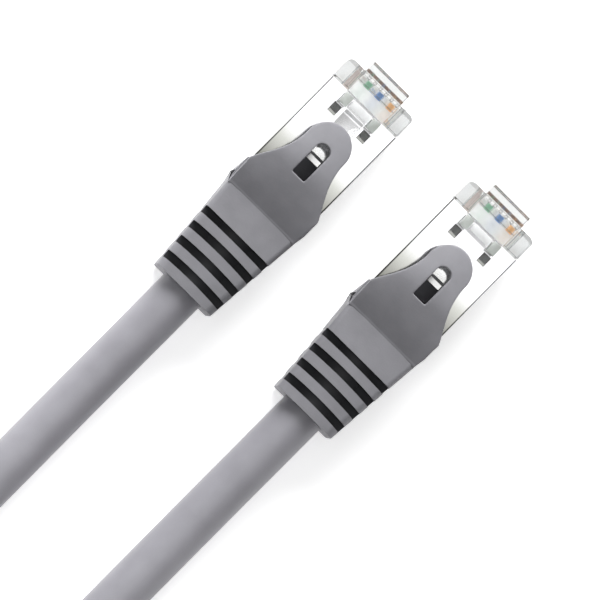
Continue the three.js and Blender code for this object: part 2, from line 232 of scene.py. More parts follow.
def cut(piece, *others):
    return combine(piece, "DIFFERENCE", others)


def join(piece, *others):
    return combine(piece, "UNION", others)


def tidy(piece, angle=0.6):
    """Merges stray vertices and flat neighbours, so that bevels have clean edges."""
    bm = bmesh.new()
    bm.from_mesh(piece.data)
    bmesh.ops.remove_doubles(bm, verts=bm.verts, dist=0.0005)
    bmesh.ops.dissolve_limit(
        bm, angle_limit=math.radians(angle), verts=bm.verts, edges=bm.edges, delimit={"MATERIAL"}
    )
    bm.to_mesh(piece.data)
    bm.free()
    return piece


def bevel(piece, width, segments=2, angle=30.0, material=-1):
    """Rounds the edges sharper than the angle. A material of -1 keeps that of the faces beside."""
    edges = piece.modifiers.new("edges", "BEVEL")
    edges.width = width
    edges.segments = segments
    edges.limit_method = "ANGLE"
    edges.angle_limit = math.radians(angle)
    edges.material = material
    apply_modifiers(piece)
    return piece


def place(piece, letter, body, slot, *nodes, smooth=35.0):
    """Scales a piece to metres at its end's place, and ties it to the frame."""
    x, y = ENDS[letter] if letter else (0.0, ENDS["a"][1])
    piece.data.shade_smooth()
    piece.data.set_sharp_from_angle(angle=math.radians(smooth))
    normals = piece.modifiers.new("normals", "WEIGHTED_NORMAL")
    normals.keep_sharp = True
    apply_modifiers(piece)
    piece.data.transform(Matrix.Scale(MM, 4) @ Matrix.Translation((x, y, 0)))
    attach(piece, body)
    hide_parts(*nodes)
    return piece


def paint(piece, material):
    """One material over the whole piece."""
    piece.data.materials.clear()
    piece.data.materials.append(material)
    for face in piece.data.polygons:
        face.material_index = 0


def loft(bm, rows, endless=False):
    """Skins closed loops of equally many points, and closes its ends or joins them."""
    rings = [[bm.verts.new(point) for point in row] for row in rows]
    count = len(rings[0])
    for ring, following in zip(rings, rings[1:] + rings[:1] if endless else rings[1:]):
        for i in range(count):
            j = (i + 1) % count
            bm.faces.new((ring[i], ring[j], following[j], following[i]))
    if not endless:
        bm.faces.new(rings[0])
        bm.faces.new(rings[-1])


def box(bm, x0, x1, y0, y1, z0, z1):
    """A plain block."""
    loft(bm, [[(x0, y, z0), (x1, y, z0), (x1, y, z1), (x0, y, z1)] for y in (y0, y1)])


def plan_prism(bm, outline, z0, z1):
    """An outline of (x, y) points, drawn up from z0 to z1."""
    loft(bm, [[(x, y, z) for x, y in outline] for z in (z0, z1)])


def side_prism(bm, outline, x0, x1):
    """An outline of (y, z) points, drawn across from x0 to x1."""
    loft(bm, [[(x, y, z) for y, z in outline] for x in (x0, x1)])


def bar(bm, radius, y0, y1, sides=64, z=AXIS_Z):
    """A round bar along the plug."""
    turns = [2 * math.pi * (i + 0.5) / sides for i in range(sides)]
    loft(bm, [[(radius * math.cos(a), y, z + radius * math.sin(a)) for a in turns] for y in (y0, y1)])


def arc(cx, cy, radius, start, end, steps):
    span = [math.radians(start + (end - start) * i / steps) for i in range(steps + 1)]
    return [(cx + radius * math.cos(a), cy + radius * math.sin(a)) for a in span]


def rounded(x0, x1, z0, z1, radius, steps=6):
    return (
        arc(x1 - radius, z0 + radius, radius, 270, 360, steps)
        + arc(x1 - radius, z1 - radius, radius, 0, 90, steps)
        + arc(x0 + radius, z1 - radius, radius, 90, 180, steps)
        + arc(x0 + radius, z0 + radius, radius, 180, 270, steps)
    )


def rounded_box(bm, x0, x1, y0, y1, z0, z1, radius):
    """A box along y with its four long edges rounded."""
    loft(bm, [[(x, y, z) for x, z in rounded(x0, x1, z0, z1, radius)] for y in (y0, y1)])


def smoothstep(t):
    t = min(max(t, 0.0), 1.0)
    return t * t * (3 - 2 * t)


def bezier(corners, steps):
    """Points along the cubic curve with these four control points."""
    corners = [Vector(corner) for corner in corners]
    points = []
    for i in range(steps + 1):
        t = i / steps
        weights = ((1 - t) ** 3, 3 * t * (1 - t) ** 2, 3 * t * t * (1 - t), t ** 3)
        start = Vector([0.0] * len(corners[0]))
        points.append(sum((w * c for w, c in zip(weights, corners)), start))
    return points


def smooth_line(points, step):
    """Catmull-Rom points through the given ones, about a step apart."""
    points = [Vector(point) for point in points]
    line = []
    last = len(points) - 1
    for i in range(last):
        p0, p1, p2, p3 = (points[min(max(k, 0), last)] for k in range(i - 1, i + 3))
        count = max(round((p2 - p1).length / step), 1)
        for j in range(count):
            t = j / count
            line.append(
                0.5 * (2 * p1 + (p2 - p0) * t + (2 * p0 - 5 * p1 + 4 * p2 - p3) * t * t
                       + (3 * p1 - p0 - 3 * p2 + p3) * t * t * t)
            )
    line.append(points[-1])
    return line


def tube_rows(line, radius, sides):
    """Rings round a line in space, for loft, kept from twisting."""
    rows = []
    side = Vector((1, 0, 0))
    for i, centre in enumerate(line):
        ahead = (line[min(i + 1, len(line) - 1)] - line[max(i - 1, 0)]).normalized()
        side = (side - ahead * side.dot(ahead)).normalized()
        up = side.cross(ahead)
        turns = [2 * math.pi * k / sides for k in range(sides)]
        rows.append([centre + side * radius * math.cos(a) + up * radius * math.sin(a) for a in turns])
    return rows


def value_at(line, y):
    """The x at y of a line of (x, y) points, y rising."""
    for (x0, y0), (x1, y1) in zip(line, line[1:]):
        if y <= y1:
            return x0 + (x1 - x0) * max((y - y0) / (y1 - y0), 0.0)
    return line[-1][0]


def way_x(way):
    """A contact's place across the plug. Way 1 is at +x."""
    return ((WAYS + 1) / 2 - way) * PITCH


# ---- Materials ----------------------------------------------------------------------------
SOFT_LOW, SOFT_HIGH = 0.35, 0.65  # the part of a noise in which soft tones change
MIX_SOCKETS = (0, 6, 7)  # a colour Mix node's factor, first and second colour
MIX_RESULT = 2


def dimmed(colour, share):
    return tuple(c * share for c in colour)


class Shader:
    """A material with a Principled shader, and short ways to add textures to it."""

    def __init__(self, name):
        self.material = bpy.data.materials.new(name)
        self.material.use_nodes = True
        self.tree = self.material.node_tree
        self.main = self.tree.nodes["Principled BSDF"]
        self.place = self.node("ShaderNodeTexCoord").outputs["Object"]

    def node(self, kind, **settings):
        made = self.tree.nodes.new(kind)
        for key, value in settings.items():
            setattr(made, key, value)
        return made

    def link(self, value, socket):
        self.tree.links.new(value, socket)

    def into(self, value, name):
        self.link(value, self.main.inputs[name])

    def set(self, **values):
        for key, value in values.items():
            self.main.inputs[key.replace("_", " ")].default_value = value

    def stretched(self, scale, turn=0.0):
        mapping = self.node("ShaderNodeMapping")
        mapping.inputs["Scale"].default_value = scale
        mapping.inputs["Rotation"].default_value = (0.0, 0.0, turn)
        self.link(self.place, mapping.inputs["Vector"])
        return mapping.outputs["Vector"]

    def noise(self, scale, detail=4.0, stretch=None):
        made = self.node("ShaderNodeTexNoise")
        made.inputs["Scale"].default_value = scale
        made.inputs["Detail"].default_value = detail
        self.link(self.stretched(stretch) if stretch else self.place, made.inputs["Vector"])
        return made.outputs["Fac"]

    def wave(self, scale, direction, turn=0.0, distortion=0.0):
        made = self.node("ShaderNodeTexWave", bands_direction=direction)
        made.inputs["Scale"].default_value = scale
        made.inputs["Distortion"].default_value = distortion
        self.link(self.stretched((1.0, 1.0, 1.0), turn), made.inputs["Vector"])
        return made.outputs["Fac"]

    def math(self, operation, *values):
        made = self.node("ShaderNodeMath", operation=operation)
        for value, socket in zip(values, made.inputs):
            self.link(value, socket)
        return made.outputs[0]

    def ramp(self, value, *stops):
        made = self.node("ShaderNodeValToRGB")
        elements = made.color_ramp.elements
        while len(elements) < len(stops):
            elements.new(0.5)
        for element, (position, colour) in zip(elements, stops):
            element.position = position
            element.color = (*colour, 1.0)
        self.link(value, made.inputs["Fac"])
        return made.outputs["Color"]

    def tones(self, value, dark, light):
        """Two colours that run into each other in soft patches."""
        return self.ramp(value, (SOFT_LOW, dark), (SOFT_HIGH, light))

    def mix(self, share, first, second):
        made = self.node("ShaderNodeMix", data_type="RGBA")
        for value, i in zip((share, first, second), MIX_SOCKETS):
            self.link(value, made.inputs[i])
        return made.outputs[MIX_RESULT]

    def multiplied(self, first, second):
        made = self.node("ShaderNodeMix", data_type="RGBA", blend_type="MULTIPLY")
        factor, a, b = (made.inputs[i] for i in MIX_SOCKETS)
        factor.default_value = 1.0
        self.link(first, a)
        self.link(second, b)
        return made.outputs[MIX_RESULT]

    def spread(self, value, low, high, out_low, out_high):
        made = self.node("ShaderNodeMapRange")
        for key, number in (
            ("From Min", low), ("From Max", high), ("To Min", out_low), ("To Max", out_high)
        ):
            made.inputs[key].default_value = number
        self.link(value, made.inputs["Value"])
        return made.outputs["Result"]

    def uneven(self, value, low, high):
        """A number that varies in the same soft patches as tones."""
        return self.spread(value, SOFT_LOW, SOFT_HIGH, low, high)

    def part(self, vector, axis):
        """One coordinate of a vector."""
        made = self.node("ShaderNodeSeparateXYZ")
        self.link(vector, made.inputs["Vector"])
        return made.outputs[axis]

    def facing(self, kind):
        """The z of the surface's normal."""
        return self.part(self.node("ShaderNodeNewGeometry").outputs[kind], "Z")

    def bump(self, value, strength, distance, before=None):
        made = self.node("ShaderNodeBump")
        made.inputs["Strength"].default_value = strength
        made.inputs["Distance"].default_value = distance
        self.link(value, made.inputs["Height"])
        if before:
            self.link(before, made.inputs["Normal"])
        return made.outputs["Normal"]

    def clouded(self, colour, scale, spread=0.05):
        """The base colour, a little darker and lighter in soft clouds."""
        cloud = self.noise(scale, 3.0)
        light = tuple(min(c * (1 + spread), 1.0) for c in colour)
        self.into(self.tones(cloud, dimmed(colour, 1 - spread), light), "Base Color")
        return cloud


def moulded(name, colour, roughness):
    """Soft moulded PVC: spark-eroded grain, faint cloudiness and an uneven sheen."""
    shader = Shader(name)
    cloud = shader.clouded(colour, 420.0, 0.045)
    pitted = shader.bump(shader.noise(3800.0, 3.0), 0.3, 0.00004)
    shader.into(shader.bump(shader.noise(900.0, 2.0), 0.12, 0.00008, pitted), "Normal")
    shader.into(shader.uneven(cloud, roughness - 0.04, roughness + 0.05), "Roughness")
    shader.set(Specular_IOR_Level=0.3)
    return shader.material


def jacket_material():
    """Extruded PVC cord jacket: fine matt grain with faint lengthwise draw lines."""
    shader = Shader("cord_jacket_pvc")
    cloud = shader.clouded((0.335, 0.33, 0.36), 260.0, 0.04)
    lines = shader.bump(shader.noise(2200.0, 2.0, (1.0, 0.03, 1.0)), 0.15, 0.00003)
    shader.into(shader.bump(shader.noise(5200.0, 2.0), 0.25, 0.00002, lines), "Normal")
    shader.into(shader.uneven(cloud, 0.4, 0.5), "Roughness")
    shader.set(Specular_IOR_Level=0.4)
    return shader.material


def clear_material(name, roughness, density, tint):
    """Clear polycarbonate with faint flow marks, greyer on its slanted and upright faces by painted
    shade.
    """
    shader = Shader(name)
    flow = shader.noise(500.0, 2.0, (1.0, 0.35, 1.0))
    tinted = shader.tones(flow, dimmed(tint, 0.96), tint)
    # Painted shade: slanted and upright faces take a darker copy of the tint, which draws dark
    # outlines.
    edge = shader.tones(flow, dimmed(tint, 0.58), dimmed(tint, 0.64))
    level = shader.math("ABSOLUTE", shader.facing("True Normal"))
    slanted = shader.spread(level, 0.95, 0.8, 0.0, 1.0)
    shader.into(shader.mix(slanted, tinted, edge), "Base Color")
    shader.into(shader.bump(flow, 0.1, 0.00003), "Normal")
    shader.into(shader.uneven(flow, roughness, roughness + 0.05), "Roughness")
    shader.set(IOR=1.5, Transmission_Weight=1.0)
    smoke = shader.node("ShaderNodeVolumeAbsorption")
    smoke.inputs["Color"].default_value = (0.50, 0.52, 0.53, 1.0)
    smoke.inputs["Density"].default_value = density
    output = shader.tree.nodes["Material Output"]
    shader.link(smoke.outputs["Volume"], output.inputs["Volume"])
    return shader.material


def frosted_material(name, colour, transmission):
    """Polycarbonate with a fine matt grain from its mould, which blurs what is under it."""
    shader = Shader(name)
    cloud = shader.clouded(colour, 700.0, 0.05)
    shader.into(shader.bump(shader.noise(4200.0, 2.0), 0.3, 0.00002), "Normal")
    shader.into(shader.uneven(cloud, 0.3, 0.42), "Roughness")
    shader.set(IOR=1.5, Transmission_Weight=transmission)
    return shader.material


SHADOW_REAR = -18.5  # the shield darkens over this stretch of the left plug, towards its boot
SHADOW_FRONT = -11.0
SHADOW = ((0.0, (0.15, 0.15, 0.13)), (0.35, (0.36, 0.36, 0.335)), (0.62, (0.53, 0.535, 0.5)))


def metal_material(name, colour, roughness, side_shade_colour=None):
    """Plated sheet metal with faint rolling lines along the plug. With a side shade colour, painted
    shade darkens its sides, and a painted shadow and reflection of the boot darken it towards the
    boot."""
    shader = Shader(name)
    lines = shader.noise(4200.0, 3.0, (1.0, 0.05, 1.0))
    cloud = shader.clouded(colour, 350.0, 0.02)
    if side_shade_colour:
        # Painted shade: faces turned sideways take the darker side shade colour.
        level = shader.spread(shader.facing("Normal"), 0.55, 0.95, 0.0, 1.0)
        lit = shader.tones(cloud, dimmed(colour, 0.98), colour)
        shaded_tone = shader.tones(cloud, dimmed(side_shade_colour, 0.94), side_shade_colour)
        # Painted shadow and reflection of the boot: the colour darkens along y towards it.
        front = ENDS["a"][1] * MM
        fade = shader.spread(
            shader.part(shader.place, "Y"), front + SHADOW_REAR * MM, front + SHADOW_FRONT * MM,
            0.0, 1.0,
        )
        grey = shader.ramp(fade, *SHADOW, (1.0, colour))
        shader.into(shader.multiplied(shader.mix(level, shaded_tone, lit), grey), "Base Color")
    shader.into(shader.spread(lines, 0.3, 0.7, roughness - 0.03, roughness + 0.05), "Roughness")
    shader.into(shader.bump(lines, 0.25, 0.000004), "Normal")
    shader.set(Metallic=1.0)
    return shader.material


WIRE_WHITE = (0.88, 0.88, 0.85)


def insulation_material(name, colour, striped=False):
    """Glossy wire insulation. The striped one of each pair is white with short coloured bands."""
    shader = Shader(name)
    ground = WIRE_WHITE if striped else colour
    cloud = shader.clouded(ground, 900.0, 0.04)
    if striped:
        plain = shader.tones(cloud, dimmed(WIRE_WHITE, 0.96), WIRE_WHITE)
        band = shader.tones(cloud, dimmed(colour, 0.96), colour)
        bands = shader.wave(95.0, "Y", 0.35, 0.6)
        shader.into(shader.mix(shader.spread(bands, 0.86, 0.9, 0.0, 1.0), plain, band), "Base Color")
    shader.into(shader.bump(shader.noise(4000.0, 2.0), 0.15, 0.00001), "Normal")
    shader.into(shader.uneven(cloud, 0.28, 0.36), "Roughness")
    # The emission stands in for the light that the clear body lets in.
    shader.set(Specular_IOR_Level=0.5, Emission_Strength=0.7)
    shader.set(Emission_Color=(*ground, 1.0))
    return shader.material


def woven_material(name, low, high, scale, turn, metallic, roughness):
    """Two crossing sets of strands: a cable braid, or the cloth of a strap."""
    shader = Shader(name)
    first = shader.wave(scale, "Y", turn, 0.3)
    second = shader.wave(scale, "Y" if metallic else "X", -turn, 0.3)
    strands = shader.math("MAXIMUM" if metallic else "MULTIPLY", first, second)
    shader.into(shader.ramp(strands, (0.2, low), (0.85, high)), "Base Color")
    shader.into(shader.bump(strands, 0.6, 0.0001), "Normal")
    shader.into(shader.spread(strands, 0.2, 0.85, roughness + 0.08, roughness - 0.04), "Roughness")
    shader.set(Metallic=metallic, Sheen_Weight=0.0 if metallic else 0.3)
    return shader.material


JACKET = jacket_material()
BOOT = moulded("boot_pvc_grey", (0.245, 0.243, 0.262), 0.5)
# Near-black colours: painted shade in the boot's grooves, on its inner sleeve and under the tongue.
RECESS_SHADE = moulded("boot_recess_shade", (0.035, 0.035, 0.04), 0.6)
SLEEVE_SHADE = moulded("boot_sleeve_shade", (0.06, 0.06, 0.066), 0.55)
BAR = moulded("load_bar_plastic", (0.78, 0.78, 0.76), 0.4)
CLEAR = clear_material("polycarbonate_clear", 0.12, 70.0, (0.71, 0.718, 0.718))
LATCH = clear_material("polycarbonate_latch", 0.02, 30.0, (0.99, 0.99, 0.99))
FROSTED = frosted_material("polycarbonate_frosted", (0.94, 0.955, 0.95), 0.6)
RIDGE = frosted_material("polycarbonate_ridge", (0.93, 0.93, 0.92), 0.15)
# The pads take a grey-green copy of the latch plastic: painted shade.
PAD = frosted_material("polycarbonate_pad_shade", (0.42, 0.45, 0.42), 0.45)
# Its third colour is painted shade on the shield's sides.
SHIELD = metal_material("shield_bright_tin", (0.95, 0.95, 0.955), 0.07, (0.52, 0.52, 0.53))
# The lips take a darker copy of the shield's metal: painted shade in its windows.
LIP = metal_material("shield_lip_shade", (0.36, 0.365, 0.345), 0.3)
GOLD = metal_material("contact_gold", (0.95, 0.7, 0.32), 0.18)
COPPER = metal_material("conductor_copper", (0.85, 0.45, 0.3), 0.25)
BRAID = woven_material("braid_tinned", (0.3, 0.29, 0.28), (0.8, 0.79, 0.77), 300.0, 0.6, 1.0, 0.32)
STRAP = woven_material("strap_cloth", (0.012, 0.012, 0.014), (0.05, 0.05, 0.055), 170.0, 0.0, 0.0, 0.8)
WIRE_COLOURS = {
    "orange": (0.88, 0.46, 0.16),
    "green": (0.24, 0.53, 0.34),
    "blue": (0.11, 0.25, 0.54),
    "brown": (0.7, 0.6, 0.56),
}
WIRE_ORDER = ["orange", "orange", "green", "blue", "blue", "green", "brown", "brown"]
WIRES = {}
for way, colour in enumerate(WIRE_ORDER, 1):
    striped = way % 2 == 1
    slot = f"wire_white_{colour}" if striped else f"wire_{colour}"
    WIRES[way] = (slot, insulation_material(f"insulation_{slot}", WIRE_COLOURS[colour], striped))


# ---- Plug pieces --------------------------------------------------------------------------
def room(width, y0, y1, height):
    """A cutter for a hollow about the plug's middle."""
    return solid(
        box, -width / 2, width / 2, y0, y1, AXIS_Z - height / 2, AXIS_Z + height / 2
    )


def make_housing(letter):
    """Clear body: corner blocks and nose block in front, a slimmer tail inside the shield."""
    half = BODY_W / 2
    plan = (
        [(-half, STEP_Y), (half, STEP_Y)]
        + arc(half - CORNER_R, -CORNER_R, CORNER_R, 0, 90, 8)
        + arc(-half + CORNER_R, -CORNER_R, CORNER_R, 90, 180, 8)
    )
    side = [
        (STEP_Y, BODY_LOW),
        (0, BODY_LOW),
        (0, BODY_TOP - FRONT_BEVEL),
        (-FRONT_BEVEL, BODY_TOP),
        (STEP_Y, BODY_TOP),
    ]
    nose_low = BODY_TOP - NOSE_DEPTH
    nose_top = BODY_TOP + NOSE_RISE
    nose = [
        (NOSE_ROOT, nose_low - NOSE_STEP),
        (0.15, nose_low - NOSE_STEP),
        (0.6, nose_low),
        (NOSE_Y - NOSE_EDGE, nose_low),
        (NOSE_Y, nose_low + NOSE_EDGE),
        (NOSE_Y, nose_top - NOSE_EDGE),
        (NOSE_Y - NOSE_EDGE, nose_top),
        (NOSE_BACK, nose_top),
        (NOSE_BACK, BODY_TOP - FRONT_BEVEL),
        (NOSE_ROOT, BODY_TOP - FRONT_BEVEL),
    ]
    inner_x = half - SHIELD_WALL - NEST_GAP
    inner_low = BODY_LOW + SHIELD_WALL + NEST_GAP
    inner_top = BODY_TOP - SHIELD_WALL - NEST_GAP
    piece = solid(plan_prism, plan, BODY_LOW, BODY_TOP, name=f"body_{letter}")
    combine(piece, "INTERSECT", [solid(side_prism, side, -half, half)])
    join(
        piece,
        solid(side_prism, nose, -NOSE_W / 2, NOSE_W / 2),
        solid(box, -inner_x, inner_x, HOUSING_REAR, STEP_Y + OVERLAP, inner_low, inner_top),
        solid(
            box, -BLOCK_W / 2, BLOCK_W / 2, BLOCK_REAR, STEP_Y + OVERLAP, BODY_LOW, AXIS_Z
        ),
    )
    rooms = [
        room(WIRE_ROOM_W, BAR_Y + FACE_GAP - OVERRUN, WIRE_TIP_Y + NEST_GAP, WIRE_ROOM_H),
        room(REAR_ROOM_W, BAR_ROOM_REAR, BAR_Y + FACE_GAP, BAR_ROOM_H),
        room(REAR_ROOM_W, HOUSING_REAR - OVERRUN, BAR_ROOM_REAR + OVERRUN, REAR_ROOM_H),
    ]
    slit_x = half - EAR_W - 0.2
    for x in (-slit_x, slit_x):
        rooms.append(solid(
            box, x - SLIT_W / 2, x + SLIT_W / 2, STEP_Y + 0.1, OVERRUN, SLIT_LOW, BODY_TOP + 0.5
        ))
    for way in range(1, WAYS + 1):
        x = way_x(way)
        rooms.append(solid(
            box, x - SLOT_W / 2, x + SLOT_W / 2, SLOT_REAR, OVERRUN, BODY_LOW - OVERRUN, SLOT_TOP
        ))
    cut(piece, *rooms)
    bevel(tidy(piece), 0.12, 2)
    paint(piece, CLEAR)
    place(piece, letter, "cable", "clear_plastic", f"housing_{letter}")


def make_shield(letter):
    """Folded sheet sleeve with two latch windows, and a crimp ring on two arms behind it."""
    half = BODY_W / 2
    wall = SHIELD_WALL
    piece = solid(
        rounded_box, -half, half, SHIELD_REAR, SHIELD_Y, BODY_LOW, BODY_TOP, BEND_R,
        name=f"sleeve_{letter}",
    )
    opening_x = BLOCK_W / 2 + 0.25
    cut(
        piece,
        solid(
            rounded_box, wall - half, half - wall, SHIELD_REAR + wall, SHIELD_Y + OVERRUN,
            BODY_LOW + wall, BODY_TOP - wall, BEND_R - 0.15,
        ),
        solid(
            box, -opening_x, opening_x, BLOCK_REAR - FACE_GAP, SHIELD_Y + OVERRUN,
            BODY_LOW - OVERRUN, BODY_LOW + 0.6,
        ),
    )
    ring = solid(bar, RING_R + RING_WALL, RING_REAR, RING_FRONT)
    arms = []
    for side in (-1, 1):
        middle = side * (RING_R + RING_WALL / 2)
        arms.append(solid(
            box, middle - RING_WALL / 2, middle + RING_WALL / 2, RING_FRONT - 0.1,
            SHIELD_REAR + 0.1, AXIS_Z - ARM_H / 2, AXIS_Z + ARM_H / 2,
        ))
    # Lips in the windows, in the darker metal: painted shade.
    lips = [
        solid(
            box, x - LIP_W / 2, x + LIP_W / 2, WINDOW_REAR - 0.2, WINDOW_REAR + 0.4,
            BODY_TOP - 0.44, BODY_TOP - 0.2, material=LIP,
        )
        for x in (-WINDOW_X, WINDOW_X)
    ]
    join(piece, ring, *arms)
    windows = [
        solid(
            box, x - WINDOW_W / 2, x + WINDOW_W / 2, WINDOW_REAR, WINDOW_Y,
            BODY_TOP - 0.5, BODY_TOP + 0.5,
        )
        for x in (-WINDOW_X, WINDOW_X)
    ]
    cut(piece, solid(bar, RING_R, RING_REAR - 0.1, SHIELD_REAR + wall + 0.1), *windows)
    paint(piece, SHIELD)
    join(piece, *lips)
    bevel(tidy(piece), 0.05, 2, 40)
    place(piece, letter, "cable", "shield_metal", f"shield_{letter}")


def make_latch(letter):
    """Latch arm: frosted root, a bar between two locking pads, and the lever under the tongue."""
    half = LATCH_W / 2
    share = (FROST_REAR - LATCH_FRONT) / (SHOULDER_Y - LATCH_FRONT)
    split_z = LATCH_LOW + (LATCH_FACE - LEVER_T - LATCH_LOW) * share
    root = [
        (LATCH_FRONT, LATCH_LOW), (LATCH_FRONT, ROOT_TOP), (FROST_REAR, FROST_TOP),
        (FROST_REAR, split_z),
    ]
    wide = [
        (FROST_REAR, split_z), (FROST_REAR, FROST_TOP), (SHOULDER_Y, LATCH_FACE),
        (SHOULDER_Y, LATCH_FACE - LEVER_T),
    ]
    lever = [
        (LEVER_Y, LATCH_FACE - LEVER_T), (LEVER_Y, LATCH_FACE), (LATCH_END, LATCH_END_Z),
        (LATCH_END, LATCH_END_Z - LEVER_T),
    ]
    pad = [
        (PAD_Y, 10.2), (PAD_Y, 10.55), (-4.9, PAD_TOP), (SHOULDER_Y, PAD_TOP), (SHOULDER_Y, 10.3),
    ]
    ridge = [
        (RIDGE_Y, RIDGE_LOW), (RIDGE_Y, RIDGE_Z), (LATCH_END, RIDGE_Z), (LATCH_END, RIDGE_LOW),
    ]
    cross = [(-3.95, 10.1), (-3.95, 10.5), (-4.3, 10.62), (-5.1, 10.68), (-5.1, 10.1)]
    piece = solid(side_prism, wide, -half, half, material=LATCH, name=f"latch_arm_{letter}")
    edge = half - PAD_W
    join(
        piece,
        solid(side_prism, root, -half, half, material=FROSTED),
        solid(side_prism, lever, -LEVER_W / 2, LEVER_W / 2, material=LATCH),
        # The pads' grey-green is painted shade.
        solid(side_prism, pad, edge, half, material=PAD),
        solid(side_prism, pad, -half, -edge, material=PAD),
        solid(side_prism, cross, -edge + 0.25, edge - 0.25, material=FROSTED),
        solid(side_prism, ridge, -RIDGE_W / 2, RIDGE_W / 2, material=RIDGE),
    )
    bevel(tidy(piece), 0.07, 2)
    place(piece, letter, f"latch_{letter}", "clear_plastic", f"latch_{letter}")


def make_load_bar(letter):
    """Sleeve that keeps the conductors in one flat row, with a shallow groove over each."""
    half = BAR_W / 2
    low, top = AXIS_Z - BAR_H / 2, AXIS_Z + BAR_H / 2
    piece = solid(
        rounded_box, -half, half, BAR_REAR, BAR_Y, low, top, 0.4, name=f"wire_sleeve_{letter}"
    )
    hollow = solid(
        rounded_box, BAR_WALL - half, half - BAR_WALL, BAR_REAR - OVERRUN, BAR_Y + OVERRUN,
        low + BAR_WALL, top - BAR_WALL, 0.3,
    )
    grooves = []
    for way in range(1, WAYS + 1):
        x = way_x(way)
        grooves.append(solid(
            box, x - 0.12, x + 0.12, BAR_REAR + 0.6, BAR_Y - 0.6, top - 0.12, top + OVERRUN
        ))
    cut(piece, hollow, *grooves)
    bevel(tidy(piece), 0.05, 2)
    paint(piece, BAR)
    place(piece, letter, "cable", "bar_plastic", f"load_bar_{letter}")


def make_contact(letter, way):
    """Gold blade: its rounded edge below meets the socket, its teeth bite the conductor above."""
    blade = (
        [(-3.7, 2.05)]
        + arc(-1.6, 2.65, 0.6, 270, 360, 5)
        + [(-1.0, 4.2), (-1.2, 3.9), (-1.7, 4.55), (-2.2, 3.9), (-2.7, 4.55), (-3.2, 3.9)]
        + [(-3.7, 4.55)]
    )
    x = way_x(way)
    piece = solid(
        side_prism, blade, x - BLADE_T / 2, x + BLADE_T / 2, name=f"blade_{letter}_{way}"
    )
    bevel(piece, 0.05, 2)
    paint(piece, GOLD)
    place(piece, letter, "cable", "gold_contact", f"contact_{letter}_{way}")


def conductor_line(way):
    """A conductor's axis: straight in the flat row, then over to its place round the jacket."""
    pair = (way - 1) // 2
    angle = (pair + 0.5) * math.pi / 4
    up = 1 if way % 2 == 0 else -1
    x, end_x = way_x(way), LAY_R * math.cos(angle)
    end_z = AXIS_Z + up * LAY_R * math.sin(angle)
    corners = (
        (x, -11.2, AXIS_Z), (x, -14.2, AXIS_Z), (end_x, -15.5, end_z), (end_x, -18.5, end_z)
    )
    return (
        [Vector((x, WIRE_TIP_Y, AXIS_Z)), Vector((x, -6.0, AXIS_Z))]
        + bezier(corners, 14)
        + [Vector((end_x, JACKET_Y - OVERLAP, end_z))]
    )


def make_conductor(letter, way):
    """Insulated conductor, flat in the row in front, with its copper showing at the cut end."""
    slot, material = WIRES[way]
    bm = bmesh.new()
    loft(bm, tube_rows(conductor_line(way), WIRE_R, 20))
    tip = max(bm.faces, key=lambda face: face.calc_center_median().y)
    ring = bmesh.ops.inset_region(bm, faces=[tip], thickness=0.2, depth=0.0)
    tip.material_index = 1
    bmesh.ops.translate(bm, verts=tip.verts, vec=(0, 0.04, 0))
    for face in ring["faces"]:
        face.material_index = 0
    piece = new_object(f"wire_{letter}_{way}", bm, material, COPPER)
    place(piece, letter, "cable", slot, f"conductor_{letter}_{way}", smooth=50.0)


def make_braid(letter):
    """Cable braid folded back over the jacket, under the crimp ring."""
    y0, y1 = RING_REAR + 0.4, RING_FRONT - 0.1
    piece = solid(bar, BRAID_R + BRAID_WALL, y0, y1, name=f"braid_sleeve_{letter}")
    cut(piece, solid(bar, BRAID_R, y0 - 0.1, y1 + 0.1))
    bevel(tidy(piece), 0.08, 2, 40)
    paint(piece, BRAID)
    place(piece, letter, "cable", "braid_wire", f"braid_{letter}")


# ---- Boot ---------------------------------------------------------------------------------
def boot_section(y, width, top, round_top, crown, draft):
    """Flat underneath, sides that lean in below, and a top that crowns towards the rear."""
    half = width / 2
    low_r = 0.7
    points = arc(half - low_r, low_r, low_r, 270, 360, 5)
    points += arc(half - round_top, top - round_top, round_top, 0, 90, 6)
    flat = half - round_top
    points += [(flat * (1 - i / 4), top) for i in range(1, 8)]
    points += arc(round_top - half, top - round_top, round_top, 90, 180, 6)
    points += arc(low_r - half, low_r, low_r, 180, 270, 5)
    middle = top / 2
    return [
        (x * (1 - draft * (top - z) / half), y, z - (crown * (x / half) ** 2 if z > middle else 0.0))
        for x, z in points
    ]


def groove_cutter(bm, y0, y1, front_arch, rear_arch, z0, z1):
    """A slab across the boot, bowed forwards in its middle."""
    steps = 16
    across = [BESIDE_BOOT * (2 * i / steps - 1) for i in range(steps + 1)]
    bows = [1 - (x / GROOVE_BOW_X) ** 2 for x in across]
    rear = [(x, y0 + rear_arch * bow) for x, bow in zip(across, bows)]
    front = [(x, y1 + front_arch * bow) for x, bow in zip(across, bows)]
    plan_prism(bm, rear + front[::-1], z0, z1)


